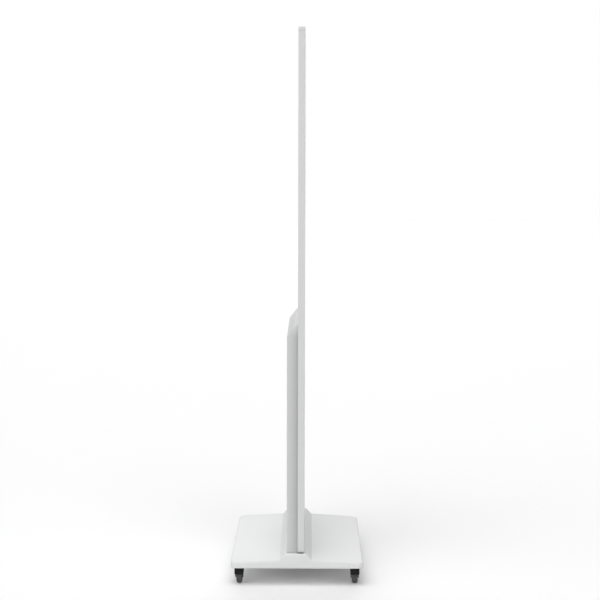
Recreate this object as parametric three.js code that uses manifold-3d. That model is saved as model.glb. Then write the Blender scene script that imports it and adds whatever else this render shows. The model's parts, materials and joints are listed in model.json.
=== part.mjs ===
// Rolling whiteboard: an upright writing board on a wheeled base, with a shallow housing on its lower back.
// Units are millimetres. X runs along the board's width, the writing face looks to -Y, and Z is up.
// The origin is on the floor under the middle of the base.

import * as THREE from 'three';
import { mergeVertices } from 'three/addons/utils/BufferGeometryUtils.js';
import Module from 'manifold-3d';

const wasm = await Module();
wasm.setup();

// ---------- driving dimensions ----------

const GAP = 0.3; // air kept between pieces that touch on the real object

const BOARD = {
  width: 700,
  bottom: 121.7,
  top: 1900,
  front: -25,
  back: -2,
  cornerRadius: 10,
  lipWidth: 9, // how far the edge frame reaches over the core, round both sheets
  lipThick: 0.9,
  wall: 1.5, // outer wall of the edge frame
  sheet: 0.5, // thickness of the writing sheet and back sheet
  recess: 0.4, // how far both sheets lie below the lips
  cornerPiece: 14, // length of each corner piece along both edges
};

const HOUSING = {
  halfWidth: 333,
  bottom: 118.8,
  shoulder: 863, // where the sloped top begins
  top: 902.7,
  outer: 35.3, // rear face
  ledge: 3.7, // depth at which the slope meets the flat strip by the board
  wall: 1.5,
};

const BASE = {
  width: 700,
  depth: 456,
  bottom: 67.5,
  edgeTopFront: 85, // the top slopes down to these heights at its outer edges
  edgeTopBack: 87.5,
  ridgeFoot: 96.2,
  ridgeTop: 117.6,
  ridgeFootFront: -50.5,
  ridgeFootBack: 58.5,
  ridgeTopFront: -30,
  ridgeTopBack: 39.5,
  cornerRadius: 22,
  edgeRadius: 7, // along the front and back edges
  endRadius: 5, // round the outline of both ends
  wall: 2.5,
};

const PLATE = { bottom: 68, thick: 6, inset: 5.5 };

const UPRIGHT = {
  x: 220,
  size: 25,
  wall: 2,
  front: 6,
  top: 860,
  footLength: 90,
  footFront: -14,
  footBack: 48,
  footThick: 6,
  boltStep: 30, // from the tube's middle to each foot bolt
};

const RAIL = { length: 560, height: 40, thick: 7.4, levels: { lower: 186, upper: 832 } };

const HOUSING_SCREW = { levels: { lower: 330, upper: 645 }, head: 4.1, seat: 4.8, sunk: 2.2 };
const RAIL_SCREW = { x: 120, depth: 16, head: 4 };
const BASE_SCREW = { x: 250, y: 150, head: 4, headThick: 2.3, length: 17, boss: 6, bossTop: 89.3 };
const M4 = { shank: 2, hole: 2.3 };
const M6 = { shank: 3, hole: 3.3, head: 6, headThick: 2 };
const M8 = { shank: 4, hole: 4.3, head: 6.5, headThick: 6 };

const CASTER = {
  x: 298, // swivel axes
  y: 200,
  trail: 20, // from swivel axis to axle
  radius: 25,
  treadWidth: 20,
  hoodWidth: 31,
  forkWidth: 27.4,
  slotWidth: 22.4,
  slotRadius: 27.5,
  top: 64,
  hoodBottom: 36,
  hoodRadius: 31, // of the hood's arc about the axle
  post: 14, // how far the hood reaches ahead of the swivel axis
  cheekRadius: 8.5,
  stem: 5,
  pivot: 4,
  pivotBottom: 46.6,
  flange: 12,
  axle: 3,
  axleHead: 4.5,
};

const plateTop = PLATE.bottom + PLATE.thick;
const uprightY = UPRIGHT.front + UPRIGHT.size / 2;
const railFront = BOARD.back + GAP;
const railBack = railFront + RAIL.thick;

// ---------- materials ----------

function material(color, roughness, metalness) {
  return new THREE.MeshStandardMaterial({ color, roughness, metalness });
}

const MATERIAL = {
  enamel: material(0xf6f7f7, 0.18, 0),
  backSheet: material(0xeeeff0, 0.4, 0),
  core: material(0xc9b48f, 0.9, 0),
  edge: material(0xd2d3d4, 0.42, 0.75),
  housing: material(0xe2e5e4, 0.5, 0.1),
  base: material(0xf0f2f1, 0.45, 0.1),
  steel: material(0x8d9092, 0.45, 0.9),
  plate: material(0xe4e6e5, 0.6, 0.1),
  hood: material(0x1b1c1d, 0.45, 0),
  hub: material(0x4a4b4c, 0.55, 0),
  tyre: material(0x55575a, 0.75, 0),
};

const whiteboard = new THREE.Group();

// ---------- geometry helpers ----------

function addMesh(name, solid, look, parent = whiteboard) {
  const mesh = new THREE.Mesh(toGeometry(solid), look.clone());
  mesh.name = name;
  parent.add(mesh);
  return mesh;
}

function toSolid(geometry) {
  const bare = geometry.clone();
  bare.deleteAttribute('normal');
  bare.deleteAttribute('uv');
  const merged = mergeVertices(bare, 1e-4);
  const corners = merged.index.array;
  const kept = [];
  for (let i = 0; i < corners.length; i += 3) {
    const [a, b, c] = [corners[i], corners[i + 1], corners[i + 2]];
    if (a !== b && b !== c && c !== a) kept.push(a, b, c);
  }
  return new wasm.Manifold(
    new wasm.Mesh({
      numProp: 3,
      vertProperties: new Float32Array(merged.attributes.position.array),
      triVerts: new Uint32Array(kept),
    }),
  );
}

function toGeometry(solid) {
  const mesh = solid.getMesh();
  const geometry = new THREE.BufferGeometry();
  geometry.setAttribute('position', new THREE.BufferAttribute(mesh.vertProperties, 3));
  geometry.setIndex(new THREE.BufferAttribute(mesh.triVerts, 1));
  geometry.computeVertexNormals();
  return geometry;
}

function box(x0, x1, y0, y1, z0, z1) {
  const geometry = new THREE.BoxGeometry(x1 - x0, y1 - y0, z1 - z0);
  geometry.translate((x0 + x1) / 2, (y0 + y1) / 2, (z0 + z1) / 2);
  return toSolid(geometry);
}

// An outline in (y, z), run from x0 to x1. A radius rounds the edges of both ends.
function alongX(shape, x0, x1, radius = 0) {
  const geometry = new THREE.ExtrudeGeometry(shape, {
    depth: x1 - x0 - 2 * radius,
    curveSegments: 4,
    bevelEnabled: radius > 0,
    bevelThickness: radius,
    bevelSize: radius,
    bevelOffset: -radius,
    bevelSegments: 3,
  });
  const [x, y, z] = [[1, 0, 0], [0, 1, 0], [0, 0, 1]].map((axis) => new THREE.Vector3(...axis));
  geometry.applyMatrix4(new THREE.Matrix4().makeBasis(y, z, x));
  geometry.translate(x0 + radius, 0, 0);
  return toSolid(geometry);
}

function extruded(shape, depth) {
  return new THREE.ExtrudeGeometry(shape, { depth, bevelEnabled: false, curveSegments: 5 });
}

// An outline in (x, z), run from y0 to y1.
function alongY(shape, y0, y1) {
  const geometry = extruded(shape, y1 - y0);
  geometry.rotateX(Math.PI / 2);
  geometry.translate(0, y1, 0);
  return toSolid(geometry);
}

// An outline in (x, y), run from z0 to z1.
function alongZ(shape, z0, z1) {
  const geometry = extruded(shape, z1 - z0);
  geometry.translate(0, 0, z0);
  return toSolid(geometry);
}

function roundedRectangle(x0, x1, y0, y1, r) {
  const shape = new THREE.Shape();
  shape.moveTo(x0 + r, y0);
  shape.lineTo(x1 - r, y0);
  shape.absarc(x1 - r, y0 + r, r, -Math.PI / 2, 0);
  shape.lineTo(x1, y1 - r);
  shape.absarc(x1 - r, y1 - r, r, 0, Math.PI / 2);
  shape.lineTo(x0 + r, y1);
  shape.absarc(x0 + r, y1 - r, r, Math.PI / 2, Math.PI);
  shape.lineTo(x0, y0 + r);
  shape.absarc(x0 + r, y0 + r, r, Math.PI, 1.5 * Math.PI);
  return shape;
}

function polygon(points) {
  return new THREE.Shape(points.map(([a, b]) => new THREE.Vector2(a, b)));
}

// A turned piece about Y. The profile holds [radius, y] with y rising along its outside.
function turned(profile, segments, turn = 0) {
  const points = profile.map(([r, y]) => new THREE.Vector2(r, y));
  const geometry = new THREE.LatheGeometry(points, segments);
  geometry.rotateY(turn);
  return toSolid(geometry);
}

// The same about Z.
function turnedUp(profile, segments) {
  return turned(profile, segments).rotate([90, 0, 0]);
}

function rod(radius, from, to) {
  return [[0, from], [radius, from], [radius, to], [0, to]];
}

function rodAlongY(radius, x, z, y0, y1, segments = 10) {
  return turned(rod(radius, y0, y1), segments).translate([x, 0, z]);
}

function rodAlongZ(radius, x, y, z0, z1) {
  return turnedUp(rod(radius, z0, z1), 10).translate([x, y, 0]);
}

// A screw's outline from its tip to the top of its head, which starts at the height called seat.
function screwProfile(tip, shank, seat, head, top) {
  return [[0, tip], [shank, tip], [shank, seat], [head, seat], [head * 0.86, top], [0, top]];
}

// A closed ring's outline, mirrored across y = 0 from the half that is given.
function mirroredRing(half) {
  return [...half, ...half.map(([r, y]) => [r, -y]).reverse(), half[0]];
}

const SIDES = { left: -1, right: 1 };
const ENDS = { front: -1, back: 1 };

// ---------- board ----------

function boardOutline(inset) {
  const half = BOARD.width / 2 - inset;
  return roundedRectangle(-half, half, BOARD.bottom + inset, BOARD.top - inset, BOARD.cornerRadius - inset);
}

// The core reaches under the lips. The sheets are bonded to it inside the frame's opening.
function addBoardPanels() {
  const coreOutline = boardOutline(BOARD.wall + 2 * GAP);
  const sheetOutline = boardOutline(BOARD.lipWidth + GAP);
  const sheetFront = BOARD.front + BOARD.recess;
  const sheetBack = BOARD.back - BOARD.recess;
  const coreFront = sheetFront + BOARD.sheet + GAP;
  const coreBack = sheetBack - BOARD.sheet - GAP;

  const front = alongY(sheetOutline, sheetFront, sheetFront + BOARD.sheet);
  addMesh('writing_sheet', front, MATERIAL.enamel);

  let core = alongY(coreOutline, coreFront, coreBack);
  let back = alongY(sheetOutline, sheetBack - BOARD.sheet, sheetBack);
  const holeEnd = BOARD.back - RAIL_SCREW.depth - GAP;
  for (const side of Object.values(SIDES)) {
    for (const z of Object.values(RAIL.levels)) {
      const hole = rodAlongY(M4.hole, side * RAIL_SCREW.x, z, holeEnd, 0);
      core = core.subtract(hole);
      back = back.subtract(hole);
    }
  }
  addMesh('board_core', core, MATERIAL.core);
  addMesh('back_sheet', back, MATERIAL.backSheet);
}

// One channel-shaped ring round the panel, split into four edges and four corner pieces.
function addEdgeFrame() {
  const half = BOARD.width / 2;
  const lip = BOARD.lipWidth;
  const deep = [BOARD.front - 5, BOARD.back + 5];
  const opening = box(-half + lip, half - lip, ...deep, BOARD.bottom + lip, BOARD.top - lip);
  const pocketFront = BOARD.front + BOARD.lipThick;
  const pocket = alongY(boardOutline(BOARD.wall + GAP), pocketFront, BOARD.back - BOARD.lipThick);
  const ring = alongY(boardOutline(0), BOARD.front, BOARD.back).subtract(opening).subtract(pocket);

  const c = BOARD.cornerPiece;
  const middle = (BOARD.top + BOARD.bottom) / 2;
  const low = BOARD.bottom + c + GAP;
  const high = BOARD.top - c - GAP;
  const inner = half - c - GAP;
  const past = half + 1;
  const upper = [middle, BOARD.top + 1];
  const lower = [BOARD.bottom - 1, middle];
  addMesh('board_edge_left', ring.intersect(box(-past, 0, ...deep, low, high)), MATERIAL.edge);
  addMesh('board_edge_right', ring.intersect(box(0, past, ...deep, low, high)), MATERIAL.edge);
  addMesh('board_edge_top', ring.intersect(box(-inner, inner, ...deep, ...upper)), MATERIAL.edge);
  addMesh('board_edge_bottom', ring.intersect(box(-inner, inner, ...deep, ...lower)), MATERIAL.edge);

  const levels = { top: [BOARD.top - c, upper[1]], bottom: [lower[0], BOARD.bottom + c] };
  const spans = { left: [-past, -half + c], right: [half - c, past] };
  for (const [level, zs] of Object.entries(levels)) {
    for (const [side, xs] of Object.entries(spans)) {
      addMesh(`board_corner_${level}_${side}`, ring.intersect(box(...xs, ...deep, ...zs)), MATERIAL.edge);
    }
  }
}

// ---------- rails and uprights ----------

function addRails() {
  const half = RAIL.length / 2;
  const tip = BOARD.back - RAIL_SCREW.depth;
  const seat = railBack + GAP;
  for (const [level, z] of Object.entries(RAIL.levels)) {
    let rail = box(-half, half, railFront, railBack, z - RAIL.height / 2, z + RAIL.height / 2);
    for (const [side, sign] of Object.entries(SIDES)) {
      const x = sign * RAIL_SCREW.x;
      rail = rail
        .subtract(rodAlongY(M6.hole, sign * UPRIGHT.x, z, railFront + 2, railBack + 1))
        .subtract(rodAlongY(M4.hole, x, z, railFront - 1, railBack + 1));
      const screw = turned(screwProfile(tip, M4.shank, seat, RAIL_SCREW.head, seat + 2.5), 10);
      addMesh(`rail_screw_${level}_${side}`, screw.translate([x, 0, z]), MATERIAL.steel);
    }
    addMesh(`board_rail_${level}`, rail, MATERIAL.steel);
  }
}

function footBoltXs(sign) {
  return [-1, 1].map((step) => sign * UPRIGHT.x + step * UPRIGHT.boltStep);
}

// A square tube welded on a foot plate, drilled for its bolts and screws.
function uprightSolid(sign) {
  const u = UPRIGHT;
  const x = sign * u.x;
  const back = u.front + u.size;
  const half = u.size / 2;
  const bore = half - u.wall;
  const reach = u.footLength / 2;
  const footBottom = plateTop + GAP;
  const footTop = footBottom + u.footThick;
  let post = box(x - half, x + half, u.front, back, footTop - 1, u.top)
    .add(box(x - reach, x + reach, u.footFront, u.footBack, footBottom, footTop))
    .subtract(box(x - bore, x + bore, u.front + u.wall, back - u.wall, footBottom - 1, u.top + 1));
  for (const z of Object.values(RAIL.levels)) post = post.subtract(rodAlongY(M6.hole, x, z, 0, back + 1));
  for (const z of Object.values(HOUSING_SCREW.levels)) {
    post = post.subtract(rodAlongY(M4.hole, x, z, uprightY, back + 1));
  }
  for (const bx of footBoltXs(sign)) {
    post = post.subtract(rodAlongZ(M8.hole, bx, uprightY, footBottom - 1, footTop + 1));
  }
  return post;
}

function addUprights() {
  const back = UPRIGHT.front + UPRIGHT.size;
  const footTop = plateTop + GAP + UPRIGHT.footThick;
  const railTip = railFront + 2 + GAP;
  for (const [side, sign] of Object.entries(SIDES)) {
    addMesh(`upright_${side}`, uprightSolid(sign), MATERIAL.steel);
    for (const [level, z] of Object.entries(RAIL.levels)) {
      const seat = back + GAP;
      const bolt = turned(screwProfile(railTip, M6.shank, seat, M6.head, seat + M6.headThick), 10);
      addMesh(`rail_bolt_${level}_${side}`, bolt.translate([sign * UPRIGHT.x, 0, z]), MATERIAL.steel);
    }
    footBoltXs(sign).forEach((x, i) => {
      const seat = footTop + GAP;
      const tip = PLATE.bottom + GAP;
      const bolt = turnedUp(screwProfile(tip, M8.shank, seat, M8.head, seat + M8.headThick), 10);
      addMesh(`foot_bolt_${side}_${i + 1}`, bolt.translate([x, uprightY, 0]), MATERIAL.steel);
    });
  }
}

// ---------- rear housing ----------

// The housing's side outline, set in by a distance. The inner one runs on past the open front and bottom.
function housingOutline(inset, front, bottom) {
  const h = HOUSING;
  const slope = Math.atan2(h.top - h.shoulder, h.outer - h.ledge);
  return polygon([
    [front, bottom],
    [h.outer - inset, bottom],
    [h.outer - inset, h.shoulder - inset * Math.tan((Math.PI / 2 - slope) / 2)],
    [h.ledge - inset * Math.tan(slope / 2), h.top - inset],
    [front, h.top - inset],
  ]);
}

function addHousing() {
  const h = HOUSING;
  const front = BOARD.back + GAP;
  const inner = h.halfWidth - h.wall;
  const inside = alongX(housingOutline(h.wall, front - 5, h.bottom - 5), -inner, inner);
  let shell = alongX(housingOutline(0, front, h.bottom), -h.halfWidth, h.halfWidth).subtract(inside);

  const s = HOUSING_SCREW;
  const seat = h.outer - s.sunk;
  const tip = uprightY + 6;
  const past = h.outer + 0.2;
  const face = h.outer - 0.1;
  for (const [side, sign] of Object.entries(SIDES)) {
    for (const [level, z] of Object.entries(s.levels)) {
      const at = [sign * UPRIGHT.x, 0, z];
      const sink = [[0, uprightY], [M4.hole, uprightY], [M4.hole, seat], [s.seat, past], [0, past]];
      const screw = [[0, tip], [M4.shank, tip], [M4.shank, seat], [s.head, face], [0, face]];
      shell = shell.subtract(turned(sink, 14).translate(at));
      addMesh(`housing_screw_${level}_${side}`, turned(screw, 14).translate(at), MATERIAL.steel);
    }
  }
  addMesh('rear_housing', shell, MATERIAL.housing);
}

// ---------- base ----------

// The base's end outline: shallow slopes that rise to a flat-topped ridge along the middle.
function baseOutline(inset, bottom) {
  const b = BASE;
  const half = b.depth / 2 - inset;
  const r = b.edgeRadius - inset / 2;
  const front = b.edgeTopFront - inset;
  const back = b.edgeTopBack - inset;
  const foot = b.ridgeFoot - inset;
  const top = b.ridgeTop - inset;
  const pull = inset / 2;
  const shape = new THREE.Shape();
  shape.moveTo(-half, bottom);
  shape.lineTo(half, bottom);
  shape.lineTo(half, back - r);
  shape.absarc(half - r, back - r, r, 0, Math.PI / 2);
  shape.lineTo(b.ridgeFootBack - pull, foot);
  shape.lineTo(b.ridgeTopBack - pull, top);
  shape.lineTo(b.ridgeTopFront + pull, top);
  shape.lineTo(b.ridgeFootFront + pull, foot);
  shape.lineTo(-half + r, front);
  shape.absarc(-half + r, front - r, r, Math.PI / 2, Math.PI);
  return shape;
}

function basePlan(inset) {
  const halfX = BASE.width / 2 - inset;
  const halfY = BASE.depth / 2 - inset;
  return roundedRectangle(-halfX, halfX, -halfY, halfY, BASE.cornerRadius - inset);
}

// Places for the cover's four screws and the four casters, with their names.
function corners(x, y) {
  return Object.entries(SIDES).flatMap(([side, sign]) =>
    Object.entries(ENDS).map(([end, way]) => ({ name: `${end}_${side}`, at: [sign * x, way * y] })),
  );
}

function addBaseCover() {
  const b = BASE;
  const half = b.width / 2;
  const below = b.bottom - 20;
  const above = b.ridgeTop + 20;
  const body = alongX(baseOutline(0, below), -half, half, b.endRadius)
    .intersect(alongZ(basePlan(0), b.bottom, above));
  const hollow = alongX(baseOutline(b.wall, below), -half + b.wall, half - b.wall)
    .intersect(alongZ(basePlan(b.wall), below, above));
  let cover = body.subtract(hollow);

  const slot = UPRIGHT.size / 2 + 1;
  for (const sign of Object.values(SIDES)) {
    const x = sign * UPRIGHT.x;
    const slotBottom = b.ridgeTop - 2 * b.wall;
    cover = cover.subtract(box(x - slot, x + slot, uprightY - slot, uprightY + slot, slotBottom, above));
  }
  for (const { at } of corners(BASE_SCREW.x, BASE_SCREW.y)) {
    const bossBottom = plateTop + GAP;
    const bossTop = BASE_SCREW.bossTop;
    cover = cover
      .add(rodAlongZ(BASE_SCREW.boss, ...at, bossBottom, bossTop))
      .subtract(rodAlongZ(M4.hole, ...at, b.bottom, bossTop - b.wall));
  }
  addMesh('base_cover', cover, MATERIAL.base);
}

function addBasePlate() {
  let plate = alongZ(basePlan(PLATE.inset), PLATE.bottom, plateTop);
  const through = [PLATE.bottom - 1, plateTop + 1];
  for (const sign of Object.values(SIDES)) {
    for (const x of footBoltXs(sign)) plate = plate.subtract(rodAlongZ(M8.hole, x, uprightY, ...through));
  }
  for (const { at } of corners(CASTER.x, CASTER.y)) {
    plate = plate.subtract(rodAlongZ(CASTER.stem + GAP, ...at, ...through));
  }
  for (const { name, at } of corners(BASE_SCREW.x, BASE_SCREW.y)) {
    const s = BASE_SCREW;
    const seat = PLATE.bottom - GAP;
    const low = seat - s.headThick;
    const tip = seat + s.length;
    plate = plate.subtract(rodAlongZ(M4.hole, ...at, ...through));
    const head = [[0, low], [s.head * 0.86, low], [s.head, seat]];
    const screw = turnedUp([...head, [M4.shank, seat], [M4.shank, tip], [0, tip]], 10);
    addMesh(`base_screw_${name}`, screw.translate([...at, 0]), MATERIAL.steel);
  }
  addMesh('base_plate', plate, MATERIAL.plate);
}

// ---------- casters ----------

// A hooded fork: a closed hood over the wheel, and two cheeks that come down to the axle.
function forkSolid() {
  const c = CASTER;
  const tail = Math.asin((c.hoodBottom - c.radius) / c.hoodRadius);
  const hood = new THREE.Shape();
  hood.moveTo(-c.post, c.hoodBottom);
  hood.lineTo(c.trail, c.hoodBottom);
  hood.absarc(c.trail, c.radius, c.hoodRadius, tail, Math.PI / 4);
  hood.lineTo(c.trail + 6, c.top);
  hood.lineTo(-c.post + 3, c.top);
  hood.lineTo(-c.post, c.top - 3);

  const cheek = new THREE.Shape();
  cheek.moveTo(-6, c.hoodBottom + 3);
  cheek.lineTo(-6, c.hoodBottom - 2);
  cheek.absarc(c.trail, c.radius, c.cheekRadius, Math.PI * 1.3, Math.PI * 1.9);
  cheek.lineTo(c.trail + 22, c.hoodBottom - 2);
  cheek.lineTo(c.trail + 22, c.hoodBottom + 3);

  const slot = rodAlongY(c.slotRadius, c.trail, c.radius, -c.slotWidth / 2, c.slotWidth / 2, 20);
  return alongY(hood, -c.hoodWidth / 2, c.hoodWidth / 2)
    .add(alongY(cheek, -c.forkWidth / 2, c.forkWidth / 2))
    .subtract(slot)
    .subtract(rodAlongY(c.axle + GAP, c.trail, c.radius, -c.hoodWidth, c.hoodWidth))
    .subtract(rodAlongZ(c.pivot + GAP, 0, 0, c.pivotBottom - GAP, c.top + 1));
}

function hubSolid() {
  const c = CASTER;
  const half = c.treadWidth / 2 - 0.6;
  const bore = c.axle + GAP;
  const profile = [[bore, -half], [6.5, -half], [7.5, -4], [14, -4], [15, -half], [17, -half]];
  return turned(mirroredRing(profile), 18);
}

// The tread is flat across its middle, and one flat of the tyre's outline lies on the floor.
function tyreSolid() {
  const segments = 24;
  const half = CASTER.treadWidth / 2;
  const outer = CASTER.radius / Math.cos(Math.PI / segments);
  const profile = [[17.4, -half + 0.6], [20.5, -half], [outer - 1.6, -half + 2], [outer, -half + 5.5]];
  return turned(mirroredRing(profile), segments, Math.PI / segments);
}

function axleSolid() {
  const c = CASTER;
  const reach = c.forkWidth / 2 + GAP;
  const low = [[0, -reach - 1.4], [c.axleHead, -reach - 1.4], [c.axleHead, -reach], [c.axle, -reach]];
  return turned([...low, ...low.map(([r, y]) => [r, -y]).reverse()], 12);
}

function stemSolid() {
  const c = CASTER;
  const under = c.top + 0.4;
  const over = PLATE.bottom - GAP;
  const tip = plateTop + 5;
  return turnedUp(
    [
      [0, c.pivotBottom],
      [c.pivot, c.pivotBottom],
      [c.pivot, under],
      [c.flange, under],
      [c.flange, over],
      [c.stem, over],
      [c.stem, tip - 1],
      [0, tip],
    ],
    12,
  );
}

function addCasters() {
  const still = { caster_stem: [stemSolid(), MATERIAL.steel], caster_fork: [forkSolid(), MATERIAL.hood] };
  const onAxle = {
    caster_axle: [axleSolid(), MATERIAL.steel],
    wheel_hub: [hubSolid(), MATERIAL.hub],
    tyre: [tyreSolid(), MATERIAL.tyre],
  };
  for (const { name, at } of corners(CASTER.x, CASTER.y)) {
    const caster = new THREE.Group();
    caster.position.set(...at, 0);
    whiteboard.add(caster);
    for (const [piece, [solid, look]] of Object.entries(still)) {
      addMesh(`${piece}_${name}`, solid, look, caster);
    }
    for (const [piece, [solid, look]] of Object.entries(onAxle)) {
      const mesh = addMesh(`${piece}_${name}`, solid, look, caster);
      mesh.position.set(CASTER.trail, 0, CASTER.radius);
    }
  }
}

addBoardPanels();
addEdgeFrame();
addRails();
addUprights();
addHousing();
addBaseCover();
addBasePlate();
addCasters();

export default whiteboard;
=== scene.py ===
"""The looks of the rolling whiteboard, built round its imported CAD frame.

Metres, in the part's frame: X runs along the board's width, -Y is the writing side, +Y is the side of the
rear housing, and Z is up from the floor.
"""

import json
import math
import bmesh
import bpy
from mathutils import Matrix, Vector


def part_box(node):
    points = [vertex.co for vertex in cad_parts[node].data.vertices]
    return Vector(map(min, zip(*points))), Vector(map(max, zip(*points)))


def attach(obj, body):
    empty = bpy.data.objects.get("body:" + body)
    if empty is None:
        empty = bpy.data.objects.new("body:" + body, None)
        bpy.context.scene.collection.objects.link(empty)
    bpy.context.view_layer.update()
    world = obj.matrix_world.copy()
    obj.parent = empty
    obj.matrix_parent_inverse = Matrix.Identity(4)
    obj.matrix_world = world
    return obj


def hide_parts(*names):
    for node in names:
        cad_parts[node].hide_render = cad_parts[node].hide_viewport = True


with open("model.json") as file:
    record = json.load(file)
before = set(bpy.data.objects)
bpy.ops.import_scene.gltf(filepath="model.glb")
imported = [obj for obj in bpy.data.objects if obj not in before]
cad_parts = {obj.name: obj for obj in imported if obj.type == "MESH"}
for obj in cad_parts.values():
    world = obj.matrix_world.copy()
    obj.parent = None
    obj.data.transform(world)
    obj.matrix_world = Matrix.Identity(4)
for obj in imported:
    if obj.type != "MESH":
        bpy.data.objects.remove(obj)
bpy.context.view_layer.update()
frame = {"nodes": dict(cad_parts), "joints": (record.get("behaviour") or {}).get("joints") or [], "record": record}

MM = 0.001
SIDES = ("left", "right")
ENDS = ("front", "back")
CORNERS = [f"{end}_{side}" for side in SIDES for end in ENDS]
X, Y, Z = (Vector(axis) for axis in ((1, 0, 0), (0, 1, 0), (0, 0, 1)))
SQUARE = ((-1, -1), (1, -1), (1, 1), (-1, 1))
# Where the rear housing's sloped top begins.
SHOULDER = 863 * MM


# ---------- materials ----------


class Finish:
    """A procedural material: a Principled shader whose colour, roughness and relief follow patterns."""

    def __init__(self, name, colour, roughness, metallic=0.0):
        self.material = bpy.data.materials.new(name)
        self.material.use_nodes = True
        self.tree = self.material.node_tree
        self.shader = self.tree.nodes["Principled BSDF"]
        self.shader.inputs["Base Color"].default_value = (*colour, 1)
        self.shader.inputs["Roughness"].default_value = roughness
        self.shader.inputs["Metallic"].default_value = metallic
        self.place = self.node("ShaderNodeTexCoord").outputs["Object"]

    def node(self, kind, **settings):
        made = self.tree.nodes.new(kind)
        for name, value in settings.items():
            setattr(made, name, value)
        return made

    def link(self, source, target):
        self.tree.links.new(source, target)

    def stretched(self, stretch):
        """The piece's coordinates, drawn out along the axes whose factor is small."""
        mapping = self.node("ShaderNodeMapping")
        mapping.inputs["Scale"].default_value = stretch
        self.link(self.place, mapping.inputs["Vector"])
        return mapping.outputs["Vector"]

    def noise(self, size, detail=3.0, stretch=(1, 1, 1)):
        """Cloudy noise from 0 to 1, with lumps of about that size."""
        texture = self.node("ShaderNodeTexNoise")
        texture.inputs["Scale"].default_value = 1 / size
        texture.inputs["Detail"].default_value = detail
        self.link(self.stretched(stretch), texture.inputs["Vector"])
        return texture.outputs["Fac"]

    def cells(self, size):
        """Rounded cells of about that size: 0 in the middle of each."""
        texture = self.node("ShaderNodeTexVoronoi")
        texture.inputs["Scale"].default_value = 1 / size
        self.link(self.place, texture.inputs["Vector"])
        return texture.outputs["Distance"]

    def grains(self, size):
        """One random value from 0 to 1 for each cell of about that size."""
        texture = self.node("ShaderNodeTexVoronoi")
        texture.inputs["Scale"].default_value = 1 / size
        self.link(self.place, texture.inputs["Vector"])
        split = self.node("ShaderNodeSeparateColor")
        self.link(texture.outputs["Color"], split.inputs["Color"])
        return split.outputs["Red"]

    def fading(self, axis, low, high, least=0.0):
        """1 where that coordinate is low, falling to the least value where it is high."""
        split = self.node("ShaderNodeSeparateXYZ")
        self.link(self.place, split.inputs["Vector"])
        return self.ranged(split.outputs[axis], (low, high), (1, least))

    def ranged(self, value, source, target=(0, 1)):
        """The value, moved from one range to another and held inside it."""
        mapped = self.node("ShaderNodeMapRange")
        ends = ("From Min", "From Max", "To Min", "To Max")
        for end, number in zip(ends, (*source, *target)):
            mapped.inputs[end].default_value = number
        self.link(value, mapped.inputs["Value"])
        return mapped.outputs["Result"]

    def times(self, first, second):
        product = self.node("ShaderNodeMath", operation="MULTIPLY")
        self.link(first, product.inputs[0])
        self.link(second, product.inputs[1])
        return product.outputs["Value"]

    def tint(self, amount, colour):
        """Turns the base colour towards another one, by the amount."""
        target = self.shader.inputs["Base Color"]
        mix = self.node("ShaderNodeMix", data_type="RGBA")
        first, second, mixed = mix.inputs[6], mix.inputs[7], mix.outputs[2]
        if target.links:
            self.link(target.links[0].from_socket, first)
        else:
            first.default_value = target.default_value
        second.default_value = (*colour, 1)
        self.link(amount, mix.inputs["Factor"])
        self.link(mixed, target)

    def roughen(self, amount, low, high):
        """Makes the roughness follow a pattern, between two values."""
        self.link(self.ranged(amount, (0, 1), (low, high)), self.shader.inputs["Roughness"])

    def raise_by(self, pattern, height, strength=1.0):
        """Adds relief of that height where the pattern is high."""
        bump = self.node("ShaderNodeBump")
        bump.inputs["Strength"].default_value = strength
        bump.inputs["Distance"].default_value = height
        normal = self.shader.inputs["Normal"]
        if normal.links:
            self.link(normal.links[0].from_socket, bump.inputs["Normal"])
        self.link(pattern, bump.inputs["Height"])
        self.link(bump.outputs["Normal"], normal)


EDGE_GREY = (0.66, 0.661, 0.662)
BASE_WHITE = (0.71, 0.718, 0.715)
HOUSING_WHITE = (0.64, 0.647, 0.644)


def scaled(colour, factor):
    """The colour, darker or lighter by that factor."""
    return tuple(min(1.0, channel * factor) for channel in colour)


def powder_coat(name, colour):
    """Powder-coated steel: fine orange peel, a faint cloudiness, and an uneven satin gloss."""
    coat = Finish(name, colour, 0.5)
    coat.tint(coat.ranged(coat.noise(0.16, 4), (0.35, 0.7), (0, 1)), scaled(colour, 0.975))
    coat.tint(coat.ranged(coat.noise(0.9 * MM, 2), (0.55, 0.75), (0, 0.5)), scaled(colour, 0.95))
    coat.roughen(coat.noise(3 * MM, 3), 0.42, 0.6)
    coat.raise_by(coat.noise(1.1 * MM, 2), 0.05 * MM, 0.5)
    coat.raise_by(coat.noise(6 * MM, 2), 0.04 * MM, 0.35)
    return coat


def housing_coat():
    """The housing's coat, with painted shade below its sloped top: darkest beside the board, where little light
    gets in, and lighter towards the rear face.
    """
    coat = powder_coat("powder_coat_housing_painted_shade", HOUSING_WHITE)
    lo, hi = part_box("rear_housing")
    painted_shade_beside_board = coat.fading("Y", lo.y, hi.y, 0.25)
    below_slope = coat.fading("Z", SHOULDER, hi.z)
    # Painted shade: the coat is darkened towards the board and below the sloped top, standing in for the shade
    # that the board's overhang casts.
    coat.tint(coat.times(painted_shade_beside_board, below_slope), scaled(HOUSING_WHITE, 0.68))
    return coat.material


def glossy_enamel():
    """Vitreous enamel: glassy, with a trace of ripple and long dry-wipe swirls in its gloss."""
    colour = (0.9, 0.905, 0.905)
    coat = Finish("enamel_glossy", colour, 0.15)
    coat.tint(coat.ranged(coat.noise(0.3, 3), (0.3, 0.7), (0, 1)), scaled(colour, 0.98))
    wiped = coat.noise(0.05, 5, (0.25, 1, 1.3))
    coat.tint(coat.ranged(wiped, (0.56, 0.8), (0, 0.35)), scaled(colour, 0.93))
    coat.roughen(wiped, 0.08, 0.28)
    coat.raise_by(coat.noise(9 * MM, 2), 0.03 * MM, 0.25)
    return coat.material


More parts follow.
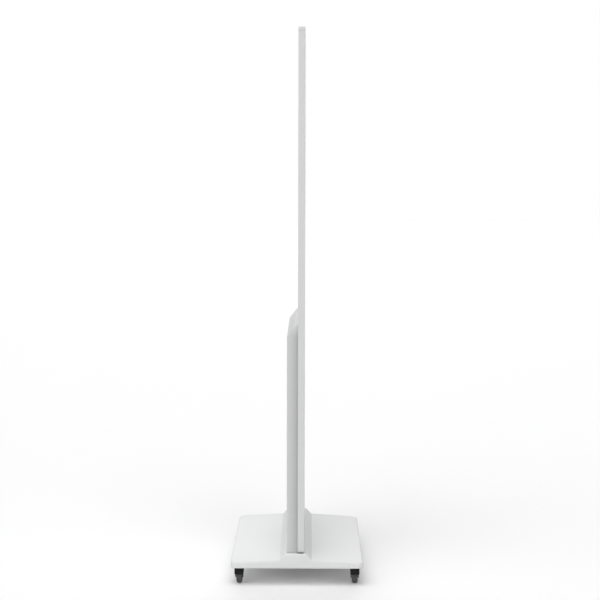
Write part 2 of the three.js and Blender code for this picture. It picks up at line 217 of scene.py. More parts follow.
def coil_coat():
    """The rear sheet: thin satin coil coating with fine lines from the rolling."""
    colour = (0.72, 0.73, 0.735)
    coat = Finish("coil_coat", colour, 0.4)
    coat.tint(coat.ranged(coat.noise(0.2, 3), (0.3, 0.7), (0, 1)), scaled(colour, 0.97))
    rolled = coat.noise(2 * MM, 3, (1, 1, 0.02))
    coat.roughen(rolled, 0.32, 0.48)
    coat.raise_by(rolled, 0.01 * MM, 0.3)
    coat.raise_by(coat.noise(1.3 * MM, 2), 0.03 * MM, 0.3)
    return coat.material


def anodised(name, stretch, colour):
    """Satin anodised aluminium with fine drawn lines along the profile."""
    metal = Finish(name, colour, 0.4, 0.55)
    drawn = metal.noise(0.5 * MM, 4, stretch)
    metal.tint(metal.ranged(drawn, (0.3, 0.7), (0, 0.6)), scaled(colour, 0.93))
    metal.tint(metal.ranged(metal.noise(0.08, 4), (0.4, 0.7), (0, 0.5)), scaled(colour, 0.96))
    metal.roughen(drawn, 0.34, 0.5)
    metal.raise_by(drawn, 0.01 * MM, 0.4)
    return metal.material


def corner_plastic():
    """Light grey moulded corner pieces with a fine spark-eroded grain."""
    colour = (0.63, 0.634, 0.634)
    moulded = Finish("corner_plastic", colour, 0.5)
    moulded.tint(moulded.ranged(moulded.noise(0.02, 3), (0.35, 0.7), (0, 1)), scaled(colour, 0.96))
    moulded.roughen(moulded.noise(1.5 * MM, 3), 0.42, 0.58)
    moulded.raise_by(moulded.noise(0.5 * MM, 2), 0.03 * MM, 0.5)
    return moulded.material


def zinc_plate():
    """Bright zinc: pale crystals of slightly different greys."""
    colour = (0.6, 0.62, 0.64)
    metal = Finish("zinc_plate", colour, 0.35, 1.0)
    metal.tint(metal.ranged(metal.grains(2.2 * MM), (0, 1), (0, 0.7)), (0.44, 0.46, 0.49))
    metal.tint(metal.ranged(metal.noise(0.03, 4), (0.5, 0.8), (0, 0.4)), (0.5, 0.48, 0.42))
    metal.roughen(metal.grains(2.2 * MM), 0.24, 0.46)
    metal.raise_by(metal.noise(0.6 * MM, 3), 0.02 * MM, 0.4)
    return metal.material


def dull_primer():
    """The plate's off-white primer: dull, with a rolled surface and a little dust."""
    colour = (0.86, 0.866, 0.862)
    coat = Finish("dull_primer", colour, 0.6)
    coat.tint(coat.ranged(coat.noise(0.05, 5), (0.5, 0.8), (0, 0.5)), (0.74, 0.73, 0.71))
    coat.roughen(coat.noise(4 * MM, 4), 0.5, 0.75)
    coat.raise_by(coat.noise(1.5 * MM, 4), 0.1 * MM, 0.5)
    return coat.material


def fibre_board():
    """The panel's filling: pressed brown fibres."""
    colour = (0.42, 0.29, 0.17)
    board = Finish("fibre_board", colour, 0.9)
    fibres = board.noise(0.8 * MM, 5, (0.3, 1, 1))
    board.tint(board.ranged(fibres, (0.35, 0.65), (0, 1)), scaled(colour, 0.6))
    board.tint(board.ranged(board.grains(1.5 * MM), (0.8, 1), (0, 0.6)), scaled(colour, 1.4))
    board.roughen(fibres, 0.82, 0.98)
    board.raise_by(fibres, 0.15 * MM, 0.7)
    return board.material


def black_nylon():
    """The casters' moulded hoods: black, finely grained, with dust low down."""
    colour = (0.010, 0.010, 0.011)
    moulded = Finish("black_nylon", colour, 0.42)
    moulded.shader.inputs["Specular IOR Level"].default_value = 0.15
    specks = moulded.ranged(moulded.noise(4 * MM, 5), (0.45, 0.8))
    dust = moulded.times(moulded.fading("Z", 12 * MM, 50 * MM), specks)
    moulded.tint(dust, (0.06, 0.057, 0.052))
    moulded.tint(moulded.ranged(moulded.noise(0.5 * MM, 2), (0.5, 0.8), (0, 0.5)), (0.02, 0.02, 0.021))
    moulded.roughen(moulded.noise(2.5 * MM, 4), 0.36, 0.56)
    moulded.raise_by(moulded.noise(0.45 * MM, 2), 0.03 * MM, 0.5)
    return moulded.material


def hub_plastic():
    """The wheels' centres: dark grey moulded plastic."""
    colour = (0.05, 0.051, 0.053)
    moulded = Finish("hub_plastic", colour, 0.5)
    moulded.tint(moulded.ranged(moulded.noise(3 * MM, 5), (0.5, 0.8), (0, 0.6)), (0.085, 0.083, 0.08))
    moulded.roughen(moulded.noise(2 * MM, 4), 0.42, 0.62)
    moulded.raise_by(moulded.noise(0.5 * MM, 2), 0.03 * MM, 0.5)
    return moulded.material


def tread_rubber():
    """Soft dark grey tread, scuffed and slightly dusty."""
    colour = (0.072, 0.073, 0.075)
    rubber = Finish("tread_rubber", colour, 0.75)
    scuffs = rubber.ranged(rubber.noise(1.6 * MM, 6, (1, 0.4, 1)), (0.5, 0.72))
    rubber.tint(scuffs, (0.11, 0.108, 0.104))
    rubber.tint(rubber.ranged(rubber.cells(0.9 * MM), (0, 0.25), (0.6, 0)), (0.045, 0.045, 0.046))
    rubber.roughen(scuffs, 0.66, 0.88)
    rubber.raise_by(rubber.noise(0.5 * MM, 3), 0.06 * MM, 0.6)
    return rubber.material


MATERIALS = {
    "enamel": glossy_enamel(),
    "back_sheet": coil_coat(),
    "core": fibre_board(),
    "edge": corner_plastic(),
    "edge_upright": anodised("anodised_upright", (1, 1, 0.01), EDGE_GREY),
    "edge_level": anodised("anodised_level", (0.01, 1, 1), EDGE_GREY),
    "housing": housing_coat(),
    "base": powder_coat("powder_coat_base", BASE_WHITE).material,
    "steel": zinc_plate(),
    "plate": dull_primer(),
    "hood": black_nylon(),
    "hub": hub_plastic(),
    "tyre": tread_rubber(),
}


def paint_frame():
    """Gives every CAD node the finish of its slot in the record."""
    for part in frame["record"]["subparts"]:
        for holder in frame["nodes"][part["node"]].material_slots:
            holder.material = MATERIALS[part["material_slot"]]


# ---------- shapes ----------


def rounded(corners, steps=5):
    """A closed outline from corners of (a, b, radius), each turned into an arc of that radius."""
    outline = []
    for i, (a, b, radius) in enumerate(corners):
        here = Vector((a, b))
        before = (Vector(corners[i - 1][:2]) - here).normalized()
        after = (Vector(corners[(i + 1) % len(corners)][:2]) - here).normalized()
        if radius == 0:
            outline.append(here)
            continue
        half = before.angle(after) / 2
        centre = here + (before + after).normalized() * radius / math.sin(half)
        start = here + before * radius / math.tan(half) - centre
        finish = here + after * radius / math.tan(half) - centre
        turn = start.angle_signed(finish)
        outline += [centre + Matrix.Rotation(-turn * k / steps, 2) @ start for k in range(steps + 1)]
    return outline


def skinned(bm, rings):
    """Quads between rings of equally many points. Returns each ring's vertices."""
    made = [[bm.verts.new(point) for point in ring] for ring in rings]
    for low, high in zip(made, made[1:]):
        for i in range(len(low)):
            j = (i + 1) % len(low)
            bm.faces.new((low[i], low[j], high[j], high[i]))
    return made


def closed_solid(rings):
    """A solid through the rings, with a flat face at each end."""
    bm = bmesh.new()
    made = skinned(bm, rings)
    bm.faces.new(made[0])
    bm.faces.new(made[-1])
    bmesh.ops.recalc_face_normals(bm, faces=bm.faces)
    return bm


def round_over(bm, edges, radius, segments):
    """Rounds those edges of a mesh."""
    bmesh.ops.bevel(
        bm, geom=edges, offset=radius, segments=segments, profile=0.5, affect="EDGES", clamp_overlap=True
    )


def extruded(outline, place, low, high, rim=0.0):
    """An outline run from low to high. place(a, b, c) gives the point; the rim's edges are rounded."""
    bm = closed_solid([[place(a, b, at) for a, b in outline] for at in (low, high)])
    if rim:
        ends = [face for face in bm.faces if len(face.verts) == len(outline)]
        round_over(bm, [edge for face in ends for edge in face.edges], rim, 4)
        bmesh.ops.recalc_face_normals(bm, faces=bm.faces)
    return bm


def round_shape(radius, height, angle):
    """The row itself: a plain circle."""
    return radius, height


def six_sided(radius, height, angle):
    """A hexagon whose corners reach the radius."""
    sector = math.pi / 3
    return radius * math.cos(sector / 2) / math.cos(angle % sector - sector / 2), height


def turned_rings(rows, centre, axis, segments):
    """Rings of points for rows of (radius, height) or (radius, height, shape); height is along the axis."""
    across = {"Y": (X, Z, Y), "Z": (X, Y, Z)}[axis]
    rings = []
    for radius, height, *shape in rows:
        place = shape[0] if shape else round_shape
        ring = []
        for k in range(segments):
            angle = 2 * math.pi * k / segments
            r, h = place(radius, height, angle)
            offset = r * math.cos(angle), r * math.sin(angle), h
            ring.append(centre + sum((a * d for a, d in zip(across, offset)), Vector()))
        rings.append(ring)
    return rings


def turned(rows, centre, axis, segments=48):
    """A turned piece with a flat face at each end."""
    return closed_solid(turned_rings(rows, centre, axis, segments))


def bored(radius, low, high, centre, axis, segments=32):
    """The cylinder that a bore takes away."""
    return turned([(radius, low), (radius, high)], centre, axis, segments)


def turned_ring(rows, centre, axis, segments):
    """A turned piece with a hole through it: its last row joins its first."""
    bm = bmesh.new()
    made = skinned(bm, turned_rings(rows, centre, axis, segments))
    first, last = made[0], made[-1]
    for i in range(segments):
        j = (i + 1) % segments
        bm.faces.new((last[i], last[j], first[j], first[i]))
    bmesh.ops.recalc_face_normals(bm, faces=bm.faces)
    return bm


def arc(centre, radius, start, finish, steps=6):
    """Points of (a, b) on an arc, with its angles in degrees."""
    angles = [math.radians(start + (finish - start) * k / steps) for k in range(steps + 1)]
    return [(centre[0] + radius * math.cos(t), centre[1] + radius * math.sin(t)) for t in angles]


def as_object(name, bm):
    """An object in the scene that holds the mesh."""
    mesh = bpy.data.meshes.new(name)
    bm.to_mesh(mesh)
    bm.free()
    made = bpy.data.objects.new(name, mesh)
    bpy.context.scene.collection.objects.link(made)
    return made


def settle(made):
    """Applies the object's modifiers to its mesh."""
    bpy.context.view_layer.update()
    solved = made.evaluated_get(bpy.context.evaluated_depsgraph_get())
    made.data = bpy.data.meshes.new_from_object(solved)
    made.modifiers.clear()


def combined(made, *changes):
    """Joins other solids to the object or cuts them from it: each change is (operation, bmesh)."""
    tools = []
    for number, (operation, bm) in enumerate(changes):
        tool = as_object(f"tool_{number}", bm)
        change = made.modifiers.new(tool.name, "BOOLEAN")
        change.object = tool
        change.operation = operation
        change.solver = "EXACT"
        tools.append(tool)
    settle(made)
    for tool in tools:
        bpy.data.objects.remove(tool)


def finished(made, body, slot, *nodes, material=None, crease=35):
    """Shades the piece, and lets it ride on its body in place of its CAD nodes."""
    made.data.materials.clear()
    made.data.materials.append(MATERIALS[material or slot])
    made.data.shade_smooth()
    made.data.set_sharp_from_angle(angle=math.radians(crease))
    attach(made, body)
    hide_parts(*nodes)
    return made


# ---------- board ----------

LIP = 9 * MM
LIP_THICK = 0.9 * MM
EDGE_WALL = 1.5 * MM
CORNER_RADIUS = 10 * MM


def edge_profile(depth):
    """The channel's section: (inwards from the outer face, back from the front)."""
    return rounded(
        [
            (0, 0, 1.3 * MM),
            (LIP, 0, 0.35 * MM),
            (LIP, LIP_THICK, 0.35 * MM),
            (EDGE_WALL, LIP_THICK, 0),
            (EDGE_WALL, depth - LIP_THICK, 0),
            (LIP, depth - LIP_THICK, 0.35 * MM),
            (LIP, depth, 0.35 * MM),
            (0, depth, 1.3 * MM),
        ]
    )


def channel(name, stations, front, depth):
    """The channel run through stations of (outer point, inward direction)."""
    profile = edge_profile(depth)
    rings = [[at + inward * a + Y * (front + b) for a, b in profile] for at, inward in stations]
    return as_object(name, closed_solid(rings))


def build_board():
    """Four edge channels, with a rounded moulding at each corner."""
    left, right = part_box("board_edge_left"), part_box("board_edge_right")
    top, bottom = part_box("board_edge_top"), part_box("board_edge_bottom")
    front, depth = left[0].y, left[1].y - left[0].y
    runs = {
        "left": (left[0].x * X, X, Z, left[0].z, left[1].z),
        "right": (right[1].x * X, -X, Z, right[0].z, right[1].z),
        "top": (top[1].z * Z, -Z, X, top[0].x, top[1].x),
        "bottom": (bottom[0].z * Z, Z, X, bottom[0].x, bottom[1].x),
    }
    for name, (outer, inward, along, start, finish) in runs.items():
        node = f"board_edge_{name}"
        stations = [(outer + along * at, inward) for at in (start, finish)]
        grain = "edge_upright" if along == Z else "edge_level"
        finished(channel(f"{node}_profile", stations, front, depth), "stand", "edge", node, material=grain)

    for level, sign_z, outer_z in (("top", 1, top[1].z), ("bottom", -1, bottom[0].z)):
        for side, sign_x, outer_x in (("left", -1, left[0].x), ("right", 1, right[1].x)):
            node = f"board_corner_{level}_{side}"
            lo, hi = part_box(node)
            centre = Vector((outer_x - sign_x * CORNER_RADIUS, 0, outer_z - sign_z * CORNER_RADIUS))
            reach = Vector((hi.x - lo.x, 0, hi.z - lo.z)) - Vector((CORNER_RADIUS, 0, CORNER_RADIUS))
            stations = [(Vector((outer_x, 0, centre.z - sign_z * reach.z)), -sign_x * X)]
            for a, b in arc((0, 0), 1, 0, 90, 10):
                outward = Vector((sign_x * a, 0, sign_z * b))
                stations.append((centre + outward * CORNER_RADIUS, -outward))
            stations.append((Vector((centre.x - sign_x * reach.x, 0, outer_z)), -sign_z * Z))
            finished(channel(f"{node}_moulding", stations, front, depth), "stand", "edge", node)


# ---------- rear housing ----------

LEDGE = 3.7 * MM
HOUSING_WALL = 1.5 * MM
FOLD = 2.2 * MM
# The shank's radius is that of the base's screws too.
SCREW_SHANK = 2 * MM
SCREW_CLEARANCE = 0.3 * MM
SCREW_SEAT = 2.2 * MM
SCREW_PASSAGE = 4 * MM


def screw_rows(shank, head, seat, face, tip):
    """A countersunk screw's rows, from its tip to the six-sided socket in its head."""
    socket = head * 0.55
    return [
        (shank * 0.6, tip),
        (shank, tip + 1 * MM),
        (shank, seat),
        (head - 0.15 * MM, face - 0.3 * MM),
        (head, face - 0.15 * MM),
        (head - 0.2 * MM, face),
        (socket + 0.2 * MM, face, six_sided),
        (socket, face - 0.2 * MM, six_sided),
        (socket, face - 1.6 * MM, six_sided),
        (socket * 0.3, face - 2 * MM, six_sided),
    ]


def build_housing():
    """The folded cover behind the board, with the countersunk screws that hold it."""
    lo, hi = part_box("rear_housing")
    outline = [(lo.y, lo.z), (hi.y, lo.z), (hi.y, SHOULDER), (LEDGE, hi.z), (lo.y, hi.z)]
    bm = bmesh.new()
    near, far = [[bm.verts.new((x, y, z)) for y, z in outline] for x in (lo.x, hi.x)]
    bm.faces.new(near)
    bm.faces.new(reversed(far))
    for i in range(1, 4):
        bm.faces.new((near[i + 1], near[i], far[i], far[i + 1]))
    folds = [edge for edge in bm.edges if len(edge.link_faces) == 2]
    round_over(bm, folds, FOLD, 5)
    rear = max(bm.faces, key=lambda face: face.calc_center_median().y)
    if rear.normal.y < 0:
        bmesh.ops.reverse_faces(bm, faces=bm.faces)

    housing = as_object("rear_housing_sheet", bm)
    sheet = housing.modifiers.new("sheet", "SOLIDIFY")
    sheet.thickness = HOUSING_WALL
    sheet.offset = -1
    sheet.use_even_offset = True
    settle(housing)

    cuts = []
    for side in SIDES:
        for level in ("lower", "upper"):
            node = f"housing_screw_{level}_{side}"
            s_lo, s_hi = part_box(node)
            centre = (s_lo + s_hi) / 2
            at = Vector((centre.x, 0, centre.z))
            head = (s_hi.x - s_lo.x) / 2
            seat = hi.y - SCREW_SEAT
            rows = screw_rows(SCREW_SHANK, head, seat, s_hi.y, s_lo.y)
            finished(as_object(f"{node}_socket", turned(rows, at, "Y")), "stand", "steel", node)
            bore = SCREW_SHANK + SCREW_CLEARANCE
            hole = [
                (bore, hi.y - SCREW_PASSAGE),
                (bore, seat),
                (head + 0.5 * MM, hi.y),
                (head + 1 * MM, hi.y + 0.5 * MM),
            ]
            cuts.append(("DIFFERENCE", turned(hole, at, "Y")))
    combined(housing, *cuts)
    finished(housing, "stand", "housing", "rear_housing")


# ---------- base ----------

BASE_CORNER = 22 * MM
BASE_WALL = 2.5 * MM
END_RADIUS = 5 * MM
EDGE_RADIUS = 7 * MM
HEM = 0.8 * MM
CREASE = 2.5 * MM
SLOT_HALF = 13.5 * MM
SLOT_CORNER = 1 * MM
SLOT_REACH = 10 * MM
HEAD_HEIGHT = 2.3 * MM
SOCKET = 2.2 * MM
SOCKET_DEPTH = 1.5 * MM
# The top's outline across the base: (y, height) at each change of slope.
RIDGE = [
    (-221 * MM, 85 * MM),
    (-50.5 * MM, 96.2 * MM),
    (-30 * MM, 117.6 * MM),
    (39.5 * MM, 117.6 * MM),
    (58.5 * MM, 96.2 * MM),
    (221 * MM, 87.5 * MM),
]


def top_height(y):
    """The top's height at y, with each change of slope eased over a few millimetres."""
    slopes = [0] + [(b[1] - a[1]) / (b[0] - a[0]) for a, b in zip(RIDGE, RIDGE[1:])] + [0]
    height = RIDGE[0][1]
    for (at, _), before, after in zip(RIDGE, slopes, slopes[1:]):
        past = y - at
        eased = (past + CREASE) ** 2 / (4 * CREASE) if abs(past) < CREASE else max(past, 0)
        height += (after - before) * eased
    return height


def base_stations(half_x, half_y):
    """Points along the left half of the base's plan, as (arc centre or edge point, outward direction)."""
    inner_x, inner_y = half_x - BASE_CORNER, half_y - BASE_CORNER
    folds = sorted(y + CREASE * step / 3 for y, _ in RIDGE[1:-1] for step in range(-3, 4))
    stations = []
    for a, b in arc((0, 0), 1, 270, 180, 10):
        stations.append((Vector((-inner_x, -inner_y)), Vector((a, b))))
    for y in folds:
        stations.append((Vector((-inner_x, y)), Vector((-1, 0))))
    for a, b in arc((0, 0), 1, 180, 90, 10):
        stations.append((Vector((-inner_x, inner_y)), Vector((a, b))))
    return stations


def build_base():
    """The base's cover: a shell with a ridge along its middle, slotted for the two uprights."""
    lo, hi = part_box("base_cover")
    stations = base_stations(hi.x, hi.y)

    def ring(inset, height):
        """The plan's outline, set in by inset(outward); height(y, outward) gives each point's height."""
        left = []
        for centre, outward in stations:
            x, y = centre + outward * (BASE_CORNER - inset(outward))
            left.append(Vector((x, y, height(y, outward))))
        return left + [Vector((-p.x, p.y, p.z)) for p in reversed(left)]

    def level(inset, height):
        """A ring with one inset all round; height(y) gives each point's height."""
        return ring(lambda outward: inset, lambda y, outward: height(y))

    def rim(turn):
        """The rounded edge: turn runs from 90 degrees at its top to 0 at the skirt."""
        in_share = 1 - math.cos(math.radians(turn))
        down_share = 1 - math.sin(math.radians(turn))

        def radius(outward):
            return END_RADIUS + (EDGE_RADIUS - END_RADIUS) * abs(outward.y)

        return ring(
            lambda outward: radius(outward) * in_share,
            lambda y, outward: top_height(y) - radius(outward) * down_share,
        )

    rings = [rim(turn) for turn in range(90, -1, -15)]
    for a, b in arc((HEM, HEM), HEM, 180, 270, 4):
        rings.append(level(a, lambda y, b=b: lo.z + b))
    rings.append(level(BASE_WALL, lambda y: lo.z))
    rings.append(level(BASE_WALL, lambda y: top_height(y) - EDGE_RADIUS))
    rings.append(level(EDGE_RADIUS, lambda y: top_height(y) - BASE_WALL))

    bm = bmesh.new()
    made = skinned(bm, rings)
    count = len(stations)
    for loop in (made[0], made[-1]):
        for i in range(count - 1):
            bm.faces.new((loop[i], loop[i + 1], loop[2 * count - 2 - i], loop[2 * count - 1 - i]))
    bmesh.ops.recalc_face_normals(bm, faces=bm.faces)
    cover = as_object("base_cover_shell", bm)

    cuts = []
    for side in SIDES:
        p_lo, p_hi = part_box(f"upright_{side}")
        b_lo, b_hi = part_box(f"foot_bolt_{side}_1")
        tube = Vector(((p_lo.x + p_hi.x) / 2, (b_lo.y + b_hi.y) / 2, hi.z))
        square = rounded([(a * SLOT_HALF, b * SLOT_HALF, SLOT_CORNER) for a, b in SQUARE])

        def above(a, b, c, at=tube):
            return at + Vector((a, b, c))

        cuts.append(("DIFFERENCE", extruded(square, above, -SLOT_REACH, SLOT_REACH)))
    combined(cover, *cuts)
    finished(cover, "stand", "base", "base_cover")


def build_base_screws():
    """Button-headed screws that hold the cover to the plate from below."""
    for corner in CORNERS:
        node = f"base_screw_{corner}"
        s_lo, s_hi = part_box(node)
        at = Vector(((s_lo.x + s_hi.x) / 2, (s_lo.y + s_hi.y) / 2, 0))
        head = (s_hi.x - s_lo.x) / 2
        low, under_head, tip = s_lo.z, s_lo.z + HEAD_HEIGHT, s_hi.z
        rows = [
            (SOCKET * 0.45, low + SOCKET_DEPTH, six_sided),
            (SOCKET * 0.95, low + SOCKET_DEPTH - 0.1 * MM, six_sided),
            (SOCKET, low, six_sided),
            (head * 0.72, low),
            (head * 0.93, low + 0.8 * MM),
            (head, under_head),
            (SCREW_SHANK, under_head),
            (SCREW_SHANK, tip - 1 * MM),
            (SCREW_SHANK * 0.6, tip),
        ]
        finished(as_object(f"{node}_socket", turned(rows, at, "Z")), "stand", "steel", node)


# ---------- casters ----------

TRAIL = 20 * MM
AXLE_HEIGHT = 25 * MM
HOOD_BOTTOM = 36 * MM
HOOD_TOP = 64 * MM
HOOD_RADIUS = 31 * MM
HOOD_WIDTH = 31 * MM
POST = 14 * MM
CHEEK_WIDTH = 27.4 * MM
CHEEK_RADIUS = 8.5 * MM
SLOT_WIDTH = 22.4 * MM
SLOT_RADIUS = 27.5 * MM
TREAD_WIDTH = 20 * MM
PIVOT_PIN = 4 * MM
PIVOT_HOLE = 4.3 * MM
PIVOT_HOLE_BOTTOM = 46.3 * MM
AXLE_HOLE = 3.3 * MM
RIB_HALF_WIDTH = 1.4 * MM
RIB_FLANK = 0.5 * MM
RIB_HEIGHT = 3.6 * MM
AXLE_HEAD = 1.4 * MM
STEM_RADIUS = 5 * MM
FLANGE_BOTTOM = 64.4 * MM
FLANGE_TOP = 67.7 * MM
FLANGE_CHAMFER = 0.5 * MM


def hood_outline():
    """The hood seen from its side: (forward of the swivel, up)."""
    tail = math.degrees(math.asin((HOOD_BOTTOM - AXLE_HEIGHT) / HOOD_RADIUS))
    back = arc((TRAIL, AXLE_HEIGHT), HOOD_RADIUS, tail, 45, 5)
    corners = [(-POST, HOOD_BOTTOM, 2 * MM)]
    corners += [(a, b, 0) for a, b in back]
    corners += [(TRAIL + 6 * MM, HOOD_TOP, 5 * MM), (-POST, HOOD_TOP, 2.5 * MM)]
    return rounded(corners)


def cheek_outline():
    """A cheek seen from its side: a strip under the hood that narrows to a round end at the axle."""
    front, back = -6 * MM, TRAIL + 22 * MM
    inside, under = HOOD_BOTTOM + 3 * MM, HOOD_BOTTOM - 2 * MM
    round_end = arc((TRAIL, AXLE_HEIGHT), CHEEK_RADIUS, 225, 342, 10)
    return [(front, inside), (front, under), *round_end, (back, under), (back, inside)]


def build_fork(name, swivel):
    """A moulded hood over the wheel with two cheeks down to the axle."""

    def beside(a, b, c):
        return swivel + Vector((a, c, b))

    axle = swivel + Vector((TRAIL, 0, AXLE_HEIGHT))
    fork = as_object(
        f"caster_hood_{name}", extruded(hood_outline(), beside, -HOOD_WIDTH / 2, HOOD_WIDTH / 2, 2 * MM)
    )
    half = SLOT_WIDTH / 2
    combined(
        fork,
        ("UNION", extruded(cheek_outline(), beside, -CHEEK_WIDTH / 2, CHEEK_WIDTH / 2, 0.8 * MM)),
        ("DIFFERENCE", bored(SLOT_RADIUS, -half, half, axle, "Y", 72)),
        ("DIFFERENCE", bored(AXLE_HOLE, -HOOD_WIDTH, HOOD_WIDTH, axle, "Y")),
        ("DIFFERENCE", bored(PIVOT_HOLE, PIVOT_HOLE_BOTTOM, FLANGE_TOP, swivel, "Z")),
    )
    finished(fork, f"caster_{name}", "hood", f"caster_fork_{name}")


def ribbed(radius, height, angle):
    """Six ribs that stand up out of the hub's web."""
    sector = 2 * math.pi / 6
    off_rib = abs((angle / sector + 0.5) % 1 - 0.5) * sector * radius
    rise = min(1.0, max(0.0, (RIB_HALF_WIDTH - off_rib) / RIB_FLANK + 0.5))
    return radius, height + math.copysign(rise * RIB_HEIGHT, height)


def mirrored(rows):
    """Rows for both sides of a wheel, from those on its -Y side."""
    return rows + [(row[0], -row[1], *row[2:]) for row in reversed(rows)]


def build_wheel(name, axle):
    """A tread with rounded shoulders on a ribbed hub."""
    half = TREAD_WIDTH / 2
    radius = AXLE_HEIGHT
    shoulder = 5.5 * MM
    wall = [(17.4 * MM, -half + 0.8 * MM), (18 * MM, -half + 0.2 * MM), (18.8 * MM, -half)]
    crown = [(b, a) for a, b in arc((-half + shoulder, radius - shoulder), shoulder, 180, 90, 9)]
    seam = [(radius, -0.3 * MM), (radius - 0.12 * MM, -0.15 * MM)]
    tread = mirrored(wall + crown + seam)
    tyre = as_object(f"tyre_{name}_tread", turned_ring(tread, axle, "Y", 96))
    finished(tyre, f"wheel_{name}", "tyre", f"tyre_{name}")

    face = half - 0.6 * MM
    web = [
        (AXLE_HOLE, -face),
        (6 * MM, -face),
        (6.5 * MM, -face + 0.4 * MM),
        (6.9 * MM, -4.2 * MM),
        (7.4 * MM, -4 * MM, ribbed),
        (9.5 * MM, -4 * MM, ribbed),
        (11.6 * MM, -4 * MM, ribbed),
        (13.7 * MM, -4 * MM, ribbed),
        (14.2 * MM, -4.2 * MM),
        (14.7 * MM, -face + 0.5 * MM),
        (15.3 * MM, -face),
        (16.6 * MM, -face),
        (17.1 * MM, -face + 0.5 * MM),
    ]
    hub = as_object(f"hub_{name}_ribbed", turned_ring(mirrored(web), axle, "Y", 144))
    finished(hub, f"wheel_{name}", "hub", f"wheel_hub_{name}")


def build_axle(name, axle):
    """A rivet with a domed head at each cheek."""
    lo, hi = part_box(f"caster_axle_{name}")
    reach = (hi.y - lo.y) / 2
    head = reach - AXLE_HEAD
    half = [
        (1 * MM, -reach),
        (2.4 * MM, -reach + 0.1 * MM),
        (3.7 * MM, -reach + 0.45 * MM),
        (4.4 * MM, -reach + 0.95 * MM),
        (4.5 * MM, -head),
        (3 * MM, -head),
    ]
    rivet = as_object(f"axle_{name}_rivet", turned(mirrored(half), axle, "Y", 40))
    finished(rivet, f"caster_{name}", "steel", f"caster_axle_{name}")


def build_stem(name, swivel):
    """The swivel's pin, and the flange that bears on the base plate."""
    lo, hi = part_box(f"caster_stem_{name}")
    flange = (hi.x - lo.x) / 2
    rows = [
        (PIVOT_PIN - 0.6 * MM, lo.z),
        (PIVOT_PIN, lo.z + 0.6 * MM),
        (PIVOT_PIN, FLANGE_BOTTOM),
        (flange - FLANGE_CHAMFER, FLANGE_BOTTOM),
        (flange, FLANGE_BOTTOM + FLANGE_CHAMFER),
        (flange, FLANGE_TOP - FLANGE_CHAMFER),
        (flange - FLANGE_CHAMFER, FLANGE_TOP),
        (STEM_RADIUS, FLANGE_TOP),
        (STEM_RADIUS, hi.z - 1 * MM),
        (STEM_RADIUS - 1 * MM, hi.z),
    ]
    stem = as_object(f"stem_{name}_flanged", turned(rows, swivel, "Z", 40))
    finished(stem, "stand", "steel", f"caster_stem_{name}")


def build_casters():
    """Four casters, each at its own swivel joint."""
    joints = {joint["name"]: joint for joint in frame["joints"]}
    for name in CORNERS:
        x, y, _ = joints[f"caster_swivel_{name}"]["pos_m"]
        swivel = Vector((x, y, 0))
        axle = swivel + Vector((TRAIL, 0, AXLE_HEIGHT))
        build_fork(name, swivel)
        build_wheel(name, axle)
        build_axle(name, axle)
        build_stem(name, swivel)


# ---------- studio ----------

FLOOR_REACH = 40
FLOOR_THICK = 20 * MM


def build_studio():
    """A pale floor that runs out into the white backdrop."""
    corners = [Vector((a, b, 0)) * FLOOR_REACH for a, b in SQUARE]
    bm = closed_solid([[corner + Z * height for corner in corners] for height in (-FLOOR_THICK, 0)])
    floor = as_object("studio_floor", bm)
    paint = Finish("studio_floor_paint", (0.95, 0.95, 0.95), 0.8)
    paint.roughen(paint.noise(0.3, 3), 0.75, 0.85)
    floor.data.materials.append(paint.material)

    build_sky()


# Where the studio's light comes from: (direction, sharpness, strength).
SKY = [
    ((-0.45, 0, 0.9), 20, 3.3),
    ((-1, 0, 1), 8, 2.0),
    ((1, 0, 0.25), 8, 3.5),
    ((-0.5, 0.6, 0.7), 8, 1.15),
    ((0.3, 0.6, 0.9), 8, 0.4),
    ((0, -1, 0.2), 4, 0.15),
]


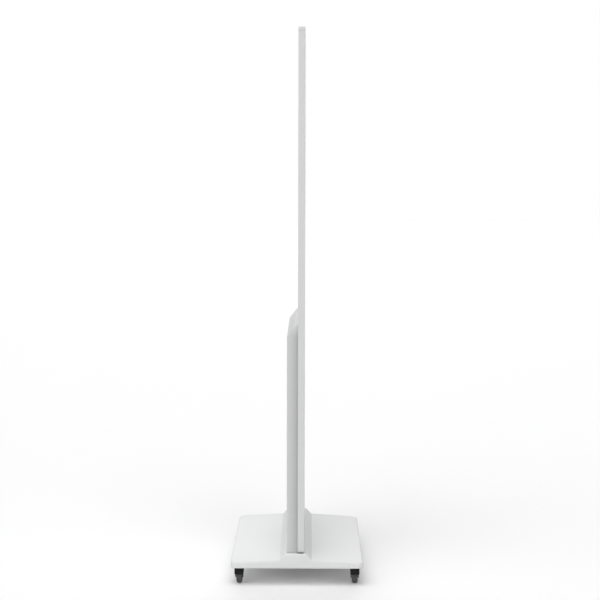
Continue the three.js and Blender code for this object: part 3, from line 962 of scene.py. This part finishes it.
def build_sky():
    """A white backdrop that is seen and mirrored, and soft light from overhead and from the sides."""
    world = bpy.data.worlds.new("studio")
    world.use_nodes = True
    nodes, links = world.node_tree.nodes, world.node_tree.links
    light = nodes["Background"]
    direction = nodes.new("ShaderNodeTexCoord").outputs["Generated"]
    total = None
    for towards, sharpness, strength in SKY:
        facing = nodes.new("ShaderNodeVectorMath")
        facing.operation = "DOT_PRODUCT"
        facing.inputs[1].default_value = Vector(towards).normalized()
        links.new(direction, facing.inputs[0])
        value = facing.outputs["Value"]
        for operation, number in (("MAXIMUM", 0), ("POWER", sharpness), ("MULTIPLY", strength)):
            step = nodes.new("ShaderNodeMath")
            step.operation = operation
            step.inputs[1].default_value = number
            links.new(value, step.inputs[0])
            value = step.outputs["Value"]
        if total:
            added = nodes.new("ShaderNodeMath")
            links.new(total, added.inputs[0])
            links.new(value, added.inputs[1])
            value = added.outputs["Value"]
        total = value
    links.new(total, light.inputs["Strength"])

    backdrop = nodes.new("ShaderNodeBackground")
    backdrop.inputs["Color"].default_value = (1, 1, 1, 1)
    path = nodes.new("ShaderNodeLightPath")
    seen = nodes.new("ShaderNodeMath")
    seen.operation = "MAXIMUM"
    links.new(path.outputs["Is Camera Ray"], seen.inputs[0])
    links.new(path.outputs["Is Glossy Ray"], seen.inputs[1])
    mix = nodes.new("ShaderNodeMixShader")
    light.inputs["Color"].default_value = (1, 1, 1, 1)
    links.new(seen.outputs["Value"], mix.inputs["Fac"])
    links.new(light.outputs["Background"], mix.inputs[1])
    links.new(backdrop.outputs["Background"], mix.inputs[2])
    links.new(mix.outputs["Shader"], nodes["World Output"].inputs["Surface"])
    bpy.context.scene.world = world


# The camera: its lens in millimetres, its angles in degrees from level and from looking along +X.
CAMERA_PLACE = (-5.265, -0.038, 1.411)
CAMERA_LENS = 87.9
CAMERA_TURN = 0.34
CAMERA_DIP = 4.9
CAMERA_ROLL = 0.12


def build_camera():
    """A long lens beside the board's left edge, almost in the board's plane and slightly raised."""
    data = bpy.data.cameras.new("camera")
    data.sensor_width = 36
    data.lens = CAMERA_LENS
    data.clip_end = 200
    camera = bpy.data.objects.new("camera", data)
    turn = Matrix.Rotation(math.radians(CAMERA_TURN - 90), 4, "Z")
    tilt = Matrix.Rotation(math.radians(90 - CAMERA_DIP), 4, "X")
    roll = Matrix.Rotation(math.radians(CAMERA_ROLL), 4, "Z")
    camera.matrix_world = Matrix.Translation(CAMERA_PLACE) @ turn @ tilt @ roll
    bpy.context.scene.collection.objects.link(camera)
    bpy.context.scene.camera = camera
    bpy.context.scene.view_settings.view_transform = "Standard"


build_camera()
build_studio()
paint_frame()
build_board()
build_housing()
build_base()
build_base_screws()
build_casters()
